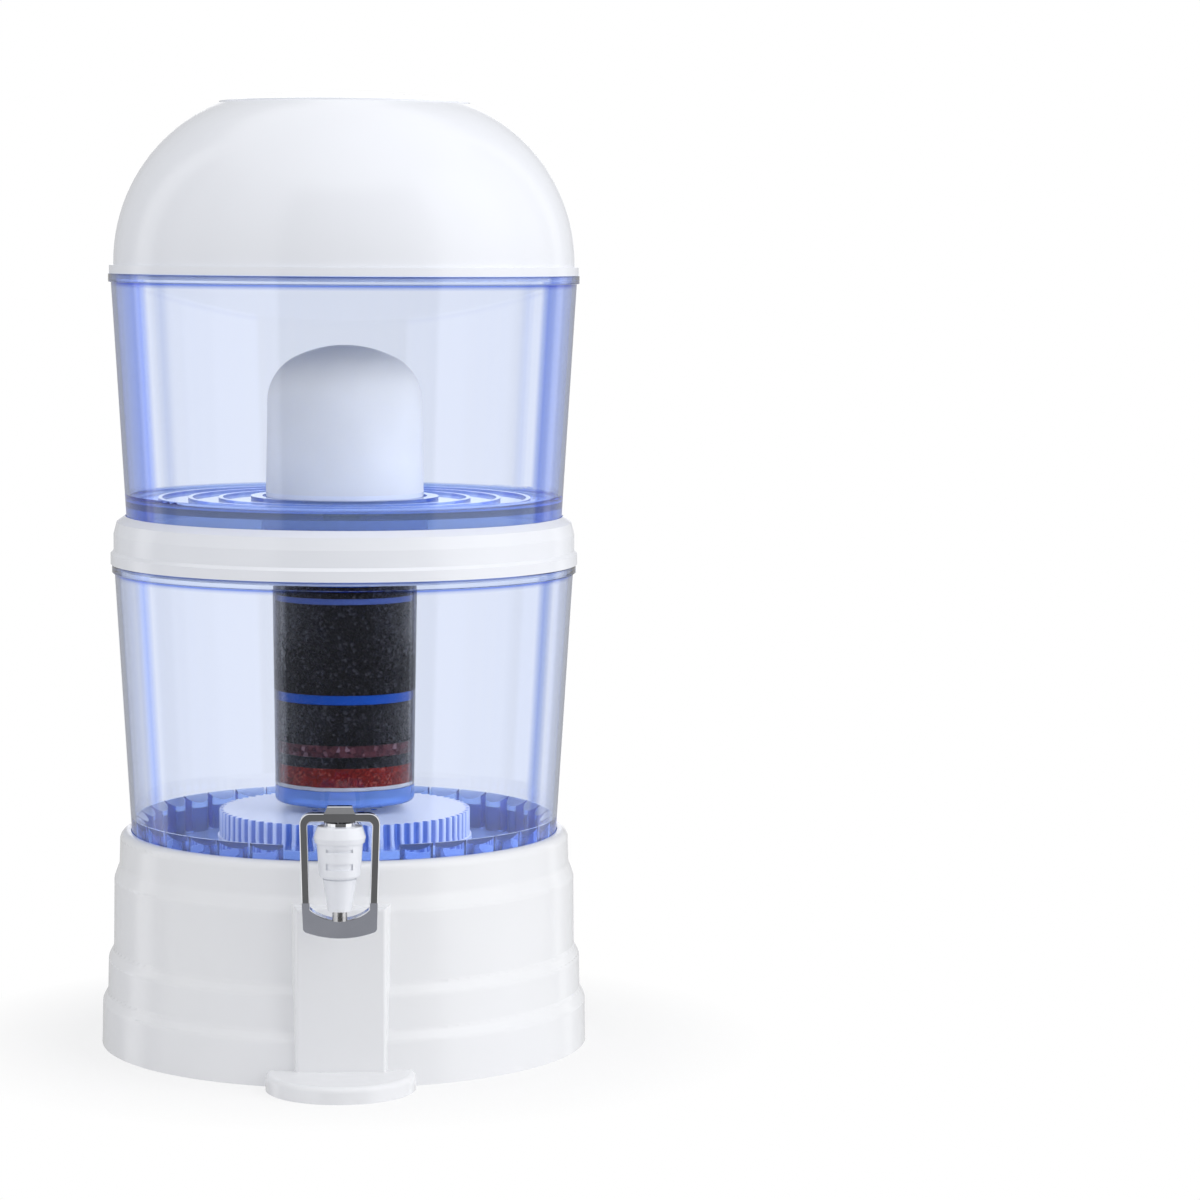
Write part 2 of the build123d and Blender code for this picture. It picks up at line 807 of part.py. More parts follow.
def tap_washer(front):
    """Flat washer on the shank, its front face at a distance from the axis."""
    ring = across(tap_flange_radius, front, front - tap_washer_height)
    return ring - across(shank_radius + running_gap, front + overrun, front - tap_washer_height - overrun)


def tap_nut():
    """Nut on the shank inside the tank."""
    nut = hex_nut(tap_nut_radius, shank_radius + running_gap, tap_nut_height)
    return Pos(0, tap_washer_height - boss_back, tap_z) * Rot(-90, 0, 0) * nut


def valve_plug():
    """Soft plug on the valve seat, with a socket for the stem."""
    plug = disc(plug_radius, seat_z, collar_z)
    return at_tap(plug - disc(stem_radius, collar_z - stem_tail, collar_z))


def valve_stem():
    """Stem from the plug to the lever's pin, with a collar under the spring and a flat eye at the top."""
    top = pin_z + stem_eye_rise
    stem = disc(stem_radius, collar_z - stem_tail, top)
    stem += disc(stem_collar_radius, collar_z, collar_z + stem_collar_height)
    flat = top - ring_face_z
    for side in (-1, 1):
        across_x = side * (stem_eye_width / 2 + stem_radius)
        stem -= Pos(across_x, 0, ring_face_z + flat / 2) * Box(2 * stem_radius, 4 * stem_radius, flat)
    eye = Pos(0, 0, pin_z) * Rot(0, 90, 0) * Cylinder(pin_radius + running_gap, 4 * stem_radius)
    return at_tap(stem - eye)


def valve_spring():
    """Coil spring between the stem's collar and the bonnet."""
    low = collar_z + stem_collar_height + spring_wire_radius
    high = bonnet_top_z - bonnet_roof - spring_wire_radius
    path = Helix((high - low) / spring_turns, high - low, spring_radius, center=(0, 0, low))
    wire = Plane(path @ 0, z_dir=path % 0) * Circle(spring_wire_radius)
    return at_tap(sweep(wire, path))


def lever_frame():
    """Chrome frame of the push lever: a bar over the stem with a heel block, and two legs."""
    top, foot = lever_width / 2, lever_foot_width / 2
    corners = [
        (-foot, split_z),
        (-top, bar_top_z),
        (top, bar_top_z),
        (foot, split_z),
        (foot - lever_leg_width, split_z),
        (top - lever_leg_width, bar_z),
        (lever_leg_width - top, bar_z),
        (lever_leg_width - foot, split_z),
    ]
    face = make_face(Polyline(*corners, close=True))
    for number, radius in ((1, lever_corner), (2, lever_corner), (5, lever_inner_corner), (6, lever_inner_corner)):
        face = fillet(face.vertices().sort_by_distance(Vector(*corners[number], 0))[0], radius)
    frame = extrude(Plane.XZ * face, lever_depth / 2, both=True)
    sides = frame.edges().group_by(Axis.Y)
    rims = [edge for edge in sides[0] + sides[-1] if edge.center().Z > split_z + lever_edge]
    frame = fillet(rims, lever_edge)
    heel = Rectangle(heel_width, heel_depth)
    frame += Pos(0, 0, bar_z) * extrude(heel, lever_bar_height)
    cap = extrude(heel, heel_rise, taper=heel_taper_deg)
    frame += Pos(0, 0, bar_top_z) * fillet(cap.edges().group_by(Axis.Z)[-1], heel_edge)
    slot_top = pin_z + stem_eye_rise + slot_swing
    slot_height = slot_top - bar_z
    slot = Box(stem_eye_width + 2 * slot_gap, 2 * (stem_radius + slot_swing), slot_height)
    frame -= Pos(0, 0, bar_z + slot_height / 2) * slot
    frame -= Pos(0, 0, pin_z) * Rot(0, 90, 0) * Cylinder(pin_radius, heel_width)
    return at_tap(frame)


def lever_pin():
    """Cross pin through the heel block and the stem's eye."""
    length = heel_width - 2 * slot_gap
    return at_tap(Pos(0, 0, pin_z) * Rot(0, 90, 0) * Cylinder(pin_radius, length))


def lever_pad():
    """Pad that the cup pushes: two horns on the legs and a curved plate that leans back behind the spout."""
    lean = radians(pad_lean_deg)
    slope = cos(lean)
    top, foot = lever_foot_width / 2, pad_width / 2
    inner = top - lever_leg_width
    side, low = -pad_side_drop / slope, -pad_drop / slope
    notch_start, notch = -pad_notch_start / slope, -pad_notch_drop / slope
    outline = [
        Polyline((-inner, notch_start), (-inner, overrun), (-top, overrun), (-foot, side)),
        ThreePointArc((-foot, side), (0, low), (foot, side)),
        Polyline((foot, side), (top, overrun), (inner, overrun), (inner, notch_start)),
        ThreePointArc((inner, notch_start), (0, notch), (-inner, notch_start)),
    ]
    face = make_face(outline)
    for across_x in (-foot, foot):
        face = fillet(face.vertices().sort_by_distance(Vector(across_x, side, 0))[0], pad_corner)
    pad = extrude(face, pad_thickness / 2, both=True)
    rims = pad.edges().group_by(Axis.Z)
    pad = fillet(rims[0] + rims[-1], pad_edge)
    plane = Plane((0, 0, split_z), x_dir=(1, 0, 0), z_dir=(0, -slope, -sin(lean)))
    pad = plane.location * pad
    trim = Box(2 * lever_width, 2 * lever_width, 2 * lever_leg_length, align=(Align.CENTER, Align.CENTER, Align.MIN))
    return at_tap(pad - Pos(0, 0, split_z) * trim)


stem_hole = ceramic_stem_radius + thread_gap
nodes = {
    "base": base(),
    "base_deck": base_deck(),
    "lower_tank": lower_tank(),
    "stone_case": stone_case(),
    "stone_case_lid": stone_case_lid(),
    "mineral_stones": mineral_stones(),
    "middle_ring": middle_ring(),
    "upper_tank": upper_tank(),
    "ceramic_dome": ceramic_dome(),
    "ceramic_base": ceramic_base(),
    "ceramic_gasket": tube(gasket_radius, stem_hole, floor_z, plate_z),
    "floor_washer": tube(
        ceramic_nut_radius + washer_overhang, stem_hole, floor_under_z - washer_height, floor_under_z
    ),
    "ceramic_nut": ceramic_nut(),
    "cartridge_cap": cartridge_cap(),
    "cap_seal": tube(ceramic_stem_radius, ceramic_bore_radius, cap_z + cap_floor, stem_end_z),
    "cartridge_shell": cartridge_shell(),
    "cartridge_foot": cartridge_foot(),
    **layer_solids(),
    "lid": lid(),
    "tap_body": tap_body(),
    "tap_bonnet": tap_bonnet(),
    "tap_nozzle": tap_nozzle(),
    "tap_outer_washer": tap_washer(boss_front + tap_washer_height),
    "tap_inner_washer": tap_washer(boss_back),
    "tap_nut": tap_nut(),
    "bonnet_ring": at_tap(tube(bonnet_ring_radius, stem_radius + running_gap, bonnet_top_z, ring_face_z)),
    "valve_stem": valve_stem(),
    "valve_plug": valve_plug(),
    "valve_spring": valve_spring(),
    "lever_frame": lever_frame(),
    "lever_pad": lever_pad(),
    "lever_pin": lever_pin(),
}
os.makedirs("parts", exist_ok=True)
for name, solid in nodes.items():
    solid.label = name
    export_step(solid, f"parts/{name}.step")
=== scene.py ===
"""Looks of a countertop gravity water filter: white stand, two tinted tanks, cartridge and push tap."""
import math

import bmesh
import bpy
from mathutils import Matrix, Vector, noise


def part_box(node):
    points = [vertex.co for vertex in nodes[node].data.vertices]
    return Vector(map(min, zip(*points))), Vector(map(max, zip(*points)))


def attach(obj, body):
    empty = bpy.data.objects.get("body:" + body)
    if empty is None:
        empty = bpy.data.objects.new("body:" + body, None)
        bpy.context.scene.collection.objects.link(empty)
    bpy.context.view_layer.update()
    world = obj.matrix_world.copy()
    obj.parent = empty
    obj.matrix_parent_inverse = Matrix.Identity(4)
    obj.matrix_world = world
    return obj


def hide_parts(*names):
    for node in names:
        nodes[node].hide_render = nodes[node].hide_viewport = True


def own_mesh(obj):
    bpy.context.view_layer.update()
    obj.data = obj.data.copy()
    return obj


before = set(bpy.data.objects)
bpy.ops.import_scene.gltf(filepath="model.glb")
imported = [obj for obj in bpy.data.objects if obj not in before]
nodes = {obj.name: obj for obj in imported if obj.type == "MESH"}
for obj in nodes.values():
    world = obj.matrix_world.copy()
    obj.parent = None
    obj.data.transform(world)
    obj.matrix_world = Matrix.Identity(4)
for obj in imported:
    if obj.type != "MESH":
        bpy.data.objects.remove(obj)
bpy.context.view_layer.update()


# Stand.
# The stepped base is one white injection-moulded shell, open underneath, with a plain front panel and a
# round foot under the tap. A separate ribbed deck drops into it and carries the lower tank.

def new_finish(name):
    """A material with its Principled shader ready to be set."""
    finish = bpy.data.materials.new(name)
    finish.use_nodes = True
    return finish, finish.node_tree, finish.node_tree.nodes["Principled BSDF"]


def mottle(tree, scale, detail=3.0, stretch=(1.0, 1.0, 1.0)):
    """Soft random variation over a piece, in its own coordinates."""
    coordinates = tree.nodes.new("ShaderNodeTexCoord")
    place = tree.nodes.new("ShaderNodeMapping")
    place.inputs["Scale"].default_value = stretch
    cloud = tree.nodes.new("ShaderNodeTexNoise")
    cloud.inputs["Scale"].default_value = scale
    cloud.inputs["Detail"].default_value = detail
    tree.links.new(coordinates.outputs["Object"], place.inputs["Vector"])
    tree.links.new(place.outputs["Vector"], cloud.inputs["Vector"])
    return cloud.outputs["Fac"]


def spread(tree, factor, low, high, start=0.3, end=0.7):
    """Maps a variation to a range of values."""
    span = tree.nodes.new("ShaderNodeMapRange")
    span.inputs["From Min"].default_value = start
    span.inputs["From Max"].default_value = end
    span.inputs["To Min"].default_value = low
    span.inputs["To Max"].default_value = high
    tree.links.new(factor, span.inputs["Value"])
    return span.outputs["Result"]


def tones(tree, factor, *stops):
    """Maps a variation to colours, each stop a place and a colour."""
    ramp = tree.nodes.new("ShaderNodeValToRGB")
    marks = ramp.color_ramp.elements
    while len(marks) < len(stops):
        marks.new(1.0)
    for mark, (place, colour) in zip(marks, stops):
        mark.position = place
        mark.color = (*colour, 1.0)
    tree.links.new(factor, ramp.inputs["Fac"])
    return ramp.outputs["Color"]


def relief(tree, shader, height, depth, strength=1.0):
    """Raises a surface by a variation, in metres."""
    bump = tree.nodes.new("ShaderNodeBump")
    bump.inputs["Strength"].default_value = strength
    bump.inputs["Distance"].default_value = depth
    tree.links.new(height, bump.inputs["Height"])
    tree.links.new(bump.outputs["Normal"], shader.inputs["Normal"])


def moulded_plastic(name, pale, deep, gloss, peel_scale=900.0, peel_depth=0.00003):
    """Moulded plastic: faint flow tones, a satin break-up of its gloss and a fine orange peel."""
    finish, tree, shader = new_finish(name)
    flow_scale = 9.0
    haze_scale = peel_scale * 0.2
    peel_strength = 0.35
    flow = mottle(tree, flow_scale, 2.0)
    tree.links.new(tones(tree, flow, (0.35, deep), (0.65, pale)), shader.inputs["Base Color"])
    haze = mottle(tree, haze_scale, 4.0)
    tree.links.new(spread(tree, haze, *gloss), shader.inputs["Roughness"])
    relief(tree, shader, mottle(tree, peel_scale, 2.0), peel_depth, peel_strength)
    return finish


def dress(finish, *names):
    """Gives CAD nodes a finish."""
    for name in names:
        for place in nodes[name].material_slots:
            place.material = finish


plastic_gloss = (0.14, 0.22)
white_plastic = moulded_plastic("white_plastic", (0.85, 0.855, 0.87), (0.83, 0.835, 0.855), plastic_gloss)
dress(white_plastic, "base", "base_deck")


# Lower tank.
# A clear tank moulded in blue-tinted styrene acrylonitrile, a little conical, with a rolled rim and a
# fluted foot. It stands in the stand's well, and the tap is bolted through its wall.

def clear_plastic(name, tint, depth, shade, rough=0.02):
    """Clear moulded plastic that tints by its thickness and lets the lamps through to what it holds."""
    finish, tree, shader = new_finish(name)
    haze_scale = 60.0
    ripple_scale, ripple_depth, ripple_strength = 22.0, 0.0002, 0.05
    shader.inputs["Transmission Weight"].default_value = 1.0
    shader.inputs["IOR"].default_value = 1.5
    haze = mottle(tree, haze_scale, 3.0)
    tree.links.new(spread(tree, haze, rough * 0.5, rough * 1.5), shader.inputs["Roughness"])
    relief(tree, shader, mottle(tree, ripple_scale, 1.0), ripple_depth, ripple_strength)
    stain = tree.nodes.new("ShaderNodeVolumeAbsorption")
    stain.inputs["Color"].default_value = (*tint, 1.0)
    stain.inputs["Density"].default_value = depth
    rays = tree.nodes.new("ShaderNodeLightPath")
    passing = tree.nodes.new("ShaderNodeBsdfTransparent")
    passing.inputs["Color"].default_value = (*shade, 1.0)
    either = tree.nodes.new("ShaderNodeMixShader")
    out = tree.nodes["Material Output"]
    tree.links.new(rays.outputs["Is Shadow Ray"], either.inputs["Fac"])
    tree.links.new(shader.outputs["BSDF"], either.inputs[1])
    tree.links.new(passing.outputs["BSDF"], either.inputs[2])
    tree.links.new(either.outputs["Shader"], out.inputs["Surface"])
    tree.links.new(stain.outputs["Volume"], out.inputs["Volume"])
    return finish, tree, shader


def blended(tree, factor, start, end):
    """A colour between two others; each is a socket or a plain colour."""
    mix = tree.nodes.new("ShaderNodeMix")
    mix.data_type = "RGBA"
    sides = [socket for socket in mix.inputs if socket.type == "RGBA"]
    for side, colour in zip(sides, (start, end)):
        if isinstance(colour, tuple):
            side.default_value = (*colour, 1.0)
        else:
            tree.links.new(colour, side)
    tree.links.new(factor, mix.inputs["Factor"])
    return [socket for socket in mix.outputs if socket.type == "RGBA"][0]


def stained(tree, first, second):
    """Two tints seen through each other."""
    mix = tree.nodes.new("ShaderNodeMix")
    mix.data_type = "RGBA"
    mix.blend_type = "MULTIPLY"
    mix.inputs["Factor"].default_value = 1.0
    sides = [socket for socket in mix.inputs if socket.type == "RGBA"]
    tree.links.new(first, sides[0])
    tree.links.new(second, sides[1])
    return [socket for socket in mix.outputs if socket.type == "RGBA"][0]


clear = (1.0, 1.0, 1.0)
# Tints for the tanks' glancing edges: the deep cobalt partly stands for the longer path through the dyed
# plastic, and the grey, lavender, pale and streak bands are painted reflections of the studio.
grey_edge = (0.84, 0.87, 0.96)
lavender_edge = (0.90, 0.92, 1.0)
pale_edge = (0.66, 0.74, 1.0)
edge_blue = (0.44, 0.55, 0.97)
painted_streak_blue = (0.46, 0.57, 0.94)
deep_edge = (0.30, 0.42, 0.92)
edge_cobalt = (0.20, 0.30, 0.80)
floor_blue = (0.50, 0.66, 1.0)
flute_blue = (0.50, 0.67, 1.0)
skirt_blue = (0.46, 0.63, 1.0)
# Painted light and shade on the rims: a pale lip and dark painted shade lines at its lower edge and under
# what rests on it.
rim_painted_light = (0.96, 0.98, 1.0)
rim_painted_shade = (0.18, 0.30, 0.80)
tank_stain = (0.10, 0.32, 0.82)
tank_stain_density = 64.0
tank_plastic, tank_tree, tank_shader = clear_plastic(
    "tank_plastic", tank_stain, tank_stain_density, (0.99, 0.995, 1.0))
tank_shader.inputs["Specular Tint"].default_value = (0.85, 0.85, 0.90, 1.0)
tank_place = tank_tree.nodes.new("ShaderNodeTexCoord")
tank_parts = tank_tree.nodes.new("ShaderNodeSeparateXYZ")
tank_tree.links.new(tank_place.outputs["Object"], tank_parts.inputs["Vector"])
foot_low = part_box("lower_tank")[0][2]
lower_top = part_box("lower_tank")[1][2]
skirt_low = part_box("upper_tank")[0][2]
upper_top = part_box("upper_tank")[1][2]
flute_height = 0.0245
skirt_height = 0.0165
rim_height = 0.0056
line_height = 0.0007
soft_step = 0.0015
along_height = spread(tank_tree, tank_parts.outputs["Z"], 0.0, 1.0, foot_low, upper_top)


def at_height(height):
    """A height on the tanks as a share of their whole height."""
    return (height - foot_low) / (upper_top - foot_low)


def painted_rim_stops(top):
    """The painted tints up a rim: a painted shade line where its lip starts, a pale lip of painted light
    and a painted shade line at its top, under what rests on it.
    """
    low = top - rim_height
    return [(at_height(low - soft_step), clear), (at_height(low), rim_painted_shade),
            (at_height(low + line_height), rim_painted_shade), (at_height(low + 2.0 * line_height), rim_painted_light),
            (at_height(top - 2.0 * line_height), rim_painted_light), (at_height(top - line_height), rim_painted_shade)]


flute_top = foot_low + flute_height
skirt_top = skirt_low + skirt_height
height_tint = tones(
    tank_tree, along_height,
    (at_height(flute_top - 2.0 * soft_step), flute_blue), (at_height(flute_top), clear),
    *painted_rim_stops(lower_top), (at_height(skirt_low), skirt_blue),
    (at_height(skirt_top), skirt_blue), (at_height(skirt_top + soft_step), clear), *painted_rim_stops(upper_top))
# Painted reflections: bands of tint set by how glancingly a wall is seen copy the studio's reflections at
# the tanks' edges, with the deep cobalt partly the longer path through the dyed plastic.
glancing = tank_tree.nodes.new("ShaderNodeLayerWeight")
glancing.inputs["Blend"].default_value = 0.5
upper_edge_painted_reflections = tones(
    tank_tree, glancing.outputs["Facing"],
    (0.36, clear), (0.39, grey_edge), (0.42, grey_edge), (0.435, clear), (0.50, clear), (0.53, deep_edge),
    (0.62, edge_blue), (0.80, pale_edge), (0.93, edge_cobalt))
lower_edge_painted_reflections = tones(
    tank_tree, glancing.outputs["Facing"],
    (0.50, clear), (0.53, painted_streak_blue), (0.56, painted_streak_blue), (0.61, clear), (0.72, lavender_edge),
    (0.78, clear), (0.88, lavender_edge), (0.95, edge_cobalt))
in_upper = spread(tank_tree, tank_parts.outputs["Z"], 0.0, 1.0, lower_top, skirt_low)
wall_tint = stained(tank_tree, height_tint, blended(tank_tree, in_upper, lower_edge_painted_reflections, upper_edge_painted_reflections))


def level_faces(tree):
    """1 on faces that lie level and 0 on upright ones."""
    lie = tree.nodes.new("ShaderNodeNewGeometry")
    lie_parts = tree.nodes.new("ShaderNodeSeparateXYZ")
    tree.links.new(lie.outputs["Normal"], lie_parts.inputs["Vector"])
    flatness = tree.nodes.new("ShaderNodeMath")
    flatness.operation = "ABSOLUTE"
    tree.links.new(lie_parts.outputs["Z"], flatness.inputs[0])
    return spread(tree, flatness.outputs[0], 0.0, 1.0, 0.6, 0.9)


level_share = level_faces(tank_tree)
tank_tree.links.new(
    blended(tank_tree, level_share, wall_tint, floor_blue), tank_shader.inputs["Base Color"])
foot_clarity = (0.88, 0.88, 0.88)
skirt_clarity = (0.76, 0.76, 0.76)
floor_clarity = (0.12, 0.12, 0.12)
wall_clarity = tones(
    tank_tree, along_height,
    (at_height(flute_top - 2.0 * soft_step), foot_clarity), (at_height(flute_top), clear),
    (at_height(skirt_low - soft_step), clear), (at_height(skirt_low), skirt_clarity),
    (at_height(skirt_top), skirt_clarity), (at_height(skirt_top + soft_step), clear))
tank_tree.links.new(
    blended(tank_tree, level_share, wall_clarity, floor_clarity), tank_shader.inputs["Transmission Weight"])
dress(tank_plastic, "lower_tank")


# Tap.
# A white moulded tap whose threaded shank goes through the tank wall between two silicone washers and a
# nut. Inside it a steel stem lifts a rubber plug off its seat against a steel spring, and a steel sleeve
# ends the spout.

def shown_piece(shape, name, body, finish):
    """Makes a drawn shape a smooth piece with a finish, on its body."""
    crease = math.radians(40.0)
    bmesh.ops.recalc_face_normals(shape, faces=shape.faces)
    mesh = bpy.data.meshes.new(name)
    shape.to_mesh(mesh)
    shape.free()
    mesh.polygons.foreach_set("use_smooth", [True] * len(mesh.polygons))
    mesh.set_sharp_from_angle(angle=crease)
    mesh.materials.append(finish)
    piece = bpy.data.objects.new(name, mesh)
    bpy.context.scene.collection.objects.link(piece)
    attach(piece, body)
    return piece


def lathe(name, outline, sides, body, finish, carve=None):
    """Turns an outline of radii and heights about an upright axis; carve may move a point by its place."""
    shape = bmesh.new()
    rows = []
    for radius, height in outline:
        if radius == 0:
            rows.append([shape.verts.new((0.0, 0.0, height))] * sides)
            continue
        row = []
        for side in range(sides):
            turn = 2.0 * math.pi * side / sides
            spot = Vector((radius * math.cos(turn), radius * math.sin(turn), height))
            row.append(shape.verts.new(carve(spot) if carve else spot))
        rows.append(row)
    if outline[0][0] > 0:
        rows.append(rows[0])
    for low, high in zip(rows, rows[1:]):
        for side in range(sides):
            after = (side + 1) % sides
            corners = [low[side], low[after], high[after], high[side]]
            shape.faces.new(list(dict.fromkeys(corners)))
    return shown_piece(shape, name, body, finish)


silicone = moulded_plastic(
    "silicone", (0.62, 0.64, 0.68), (0.55, 0.57, 0.61), (0.45, 0.6), peel_scale=500.0, peel_depth=0.00004)
nut_plastic = moulded_plastic("nut_plastic", (0.74, 0.75, 0.78), (0.70, 0.71, 0.74), (0.26, 0.36))


def polished_metal(name, dark, light, gloss, grain):
    """Bare or plated metal with a faint cloud in its tone and polish."""
    finish, tree, shader = new_finish(name)
    polish_scale = grain * 8.0
    shader.inputs["Metallic"].default_value = 1.0
    tree.links.new(
        tones(tree, mottle(tree, grain), (0.3, dark), (0.7, light)), shader.inputs["Base Color"])
    tree.links.new(spread(tree, mottle(tree, polish_scale, 4.0), *gloss), shader.inputs["Roughness"])
    return finish


steel = polished_metal("steel", (0.48, 0.48, 0.49), (0.60, 0.60, 0.61), (0.2, 0.34), 80.0)
cool_plastic = moulded_plastic("cool_plastic", (0.85, 0.865, 0.91), (0.83, 0.845, 0.89), plastic_gloss)
dress(cool_plastic, "tap_body", "tap_bonnet", "tap_nozzle")
dress(silicone, "tap_outer_washer", "tap_inner_washer", "valve_plug")
dress(nut_plastic, "tap_nut")
dress(steel, "valve_stem")


def coil_spring(node, wire_radius, turns, body, finish):
    """A coil spring in a CAD node's place."""
    low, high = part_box(node)
    centre_x, centre_y = (low[0] + high[0]) / 2.0, (low[1] + high[1]) / 2.0
    radius = (high[0] - low[0]) / 2.0 - wire_radius
    start, end = low[2] + wire_radius, high[2] - wire_radius
    steps_round, wire_sides = 40, 12
    steps = turns * steps_round
    shape = bmesh.new()
    rings = []
    for step in range(steps + 1):
        turn = 2.0 * math.pi * step / steps_round
        outwards = Vector((math.cos(turn), math.sin(turn), 0.0))
        middle = Vector((centre_x, centre_y, start + (end - start) * step / steps)) + outwards * radius
        ring = []
        for side in range(wire_sides):
            angle = 2.0 * math.pi * side / wire_sides
            offset = outwards * math.cos(angle) + Vector((0.0, 0.0, math.sin(angle)))
            ring.append(shape.verts.new(middle + offset * wire_radius))
        rings.append(ring)
    for near, far in zip(rings, rings[1:]):
        for side in range(wire_sides):
            after = (side + 1) % wire_sides
            shape.faces.new([near[side], near[after], far[after], far[side]])
    shape.faces.new(rings[0])
    shape.faces.new(rings[-1])
    spring = shown_piece(shape, node + "_coil", body, finish)
    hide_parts(node)
    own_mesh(spring)


spring_wire = 0.00044
spring_turns = 5
coil_spring(
    "valve_spring", spring_wire, spring_turns, "lower_tank", steel)

nozzle_low, nozzle_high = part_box("tap_nozzle")
sleeve_inner = 0.00372
sleeve_outer = 0.0039
sleeve_height = 0.0054
sleeve_edge = 0.0002
sleeve_sides = 48
sleeve_axis = Vector((0.0, (nozzle_low[1] + nozzle_high[1]) / 2.0, 0.0))
sleeve_top = nozzle_low[2] + sleeve_height
lathe("spout_sleeve",
      [(sleeve_inner, nozzle_low[2]), (sleeve_outer - sleeve_edge, nozzle_low[2]),
       (sleeve_outer, nozzle_low[2] + sleeve_edge), (sleeve_outer, sleeve_top - sleeve_edge),
       (sleeve_outer - sleeve_edge, sleeve_top), (sleeve_inner, sleeve_top)],
      sleeve_sides, "lower_tank", steel, lambda spot: spot + sleeve_axis)


# Push lever.
# A chromed die-cast frame that tilts on a steel pin over the tap's bonnet ring. The cup is pressed against
# the pad that hangs between its two legs.

chrome = polished_metal("chrome", (0.72, 0.73, 0.76), (0.80, 0.81, 0.84), (0.04, 0.09), 40.0)
dress(chrome, "lever_frame", "bonnet_ring", "lever_pad")
dress(steel, "lever_pin")


# Stone case.
# A flat round tray with a knurled lid, moulded in pale blue plastic, that lies on the tank's floor. It
# holds the loose mineral stones.

case_plastic = moulded_plastic("case_plastic", (0.88, 0.91, 1.0), (0.84, 0.88, 0.98), (0.28, 0.4))
case_tree = case_plastic.node_tree
case_shader = case_tree.nodes["Principled BSDF"]
case_top = case_shader.inputs["Base Color"].links[0].from_socket
case_place = case_tree.nodes.new("ShaderNodeTexCoord")
case_plan = case_tree.nodes.new("ShaderNodeVectorMath")
case_plan.operation = "MULTIPLY"
case_plan.inputs[1].default_value = (1.0, 1.0, 0.0)
case_radius = case_tree.nodes.new("ShaderNodeVectorMath")
case_radius.operation = "LENGTH"
case_tree.links.new(case_place.outputs["Object"], case_plan.inputs[0])
case_tree.links.new(case_plan.outputs["Vector"], case_radius.inputs[0])
# Painted shade and highlight: the knurl's grooves are darkened and its tips lightened in the colour, so the
# upright sides differ from the case's own pale top.
knurl_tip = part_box("stone_case_lid")[1][0]
knurl_depth = 0.0016
groove_painted_shade = (0.15, 0.26, 0.68)
tooth_painted_highlight = (0.66, 0.74, 0.95)
tooth_lit_share = spread(case_tree, case_radius.outputs["Value"], 0.0, 1.0, knurl_tip - knurl_depth, knurl_tip)
case_side_painted_shade = tones(case_tree, tooth_lit_share, (0.3, groove_painted_shade), (0.8, tooth_painted_highlight))
case_tree.links.new(
    blended(case_tree, level_faces(case_tree), case_side_painted_shade, case_top), case_shader.inputs["Base Color"])
dress(case_plastic, "stone_case", "stone_case_lid")
stone, stone_tree, stone_shader = new_finish("mineral_stone")
speckle_scale, worn_scale, grit_scale, grit_depth = 180.0, 500.0, 700.0, 0.0002
stone_tree.links.new(
    tones(stone_tree, mottle(stone_tree, speckle_scale, 6.0),
          (0.3, (0.30, 0.24, 0.19)), (0.5, (0.52, 0.46, 0.40)), (0.7, (0.70, 0.66, 0.60))),
    stone_shader.inputs["Base Color"])
stone_tree.links.new(
    spread(stone_tree, mottle(stone_tree, worn_scale, 4.0), 0.5, 0.75), stone_shader.inputs["Roughness"])
relief(stone_tree, stone_shader, mottle(stone_tree, grit_scale, 6.0), grit_depth, 0.6)
dress(stone, "mineral_stones")


# Middle ring.
# A white injection-moulded ring that drops over the lower tank's rim. Its inner ledge carries the upper
# tank, and its own weight holds it.

dress(cool_plastic, "middle_ring")


# Upper tank.
# The second clear tank, of the same blue-tinted plastic, sits in the ring. Its ribbed floor carries the
# ceramic filter inside and the cartridge below.

dress(tank_plastic, "upper_tank")


# Ceramic filter.
# A slip-cast dome of porous white ceramic, glued into a white plastic base. Its threaded stem goes through
# the tank floor, sealed by a gasket above, and a washer and nut below.

ceramic, ceramic_tree, ceramic_shader = new_finish("ceramic")
cloud_scale, fired_scale, pore_scale, pore_depth = 35.0, 400.0, 1500.0, 0.0001
ceramic_tree.links.new(
    tones(ceramic_tree, mottle(ceramic_tree, cloud_scale, 5.0),
          (0.3, (0.77, 0.75, 0.70)), (0.7, (0.81, 0.79, 0.74))),
    ceramic_shader.inputs["Base Color"])
ceramic_tree.links.new(
    spread(ceramic_tree, mottle(ceramic_tree, fired_scale, 4.0), 0.3, 0.45),
    ceramic_shader.inputs["Roughness"])
relief(ceramic_tree, ceramic_shader, mottle(ceramic_tree, pore_scale, 5.0), pore_depth, 0.4)
dress(ceramic, "ceramic_dome")
dress(white_plastic, "ceramic_base")
dress(silicone, "ceramic_gasket", "floor_washer")
dress(nut_plastic, "ceramic_nut")


# Filter cartridge.
# A clear tube with a dark blue screw cap and a translucent blue outlet, packed with layers of carbon,
# mineral grains and felt pads under a foam sponge. It screws onto the ceramic filter's stem and hangs in
# the lower tank.

cap_plastic = moulded_plastic("cap_plastic", (0.030, 0.060, 0.30), (0.024, 0.050, 0.25), (0.2, 0.3))
dress(cap_plastic, "cartridge_cap")
dress(silicone, "cap_seal")
tube_plastic, tube_tree, tube_shader = clear_plastic(
    "tube_plastic", (0.5, 0.6, 0.9), 10.0, (0.97, 0.98, 1.0))
tube_shader.inputs["Specular Tint"].default_value = (0.05, 0.05, 0.07, 1.0)
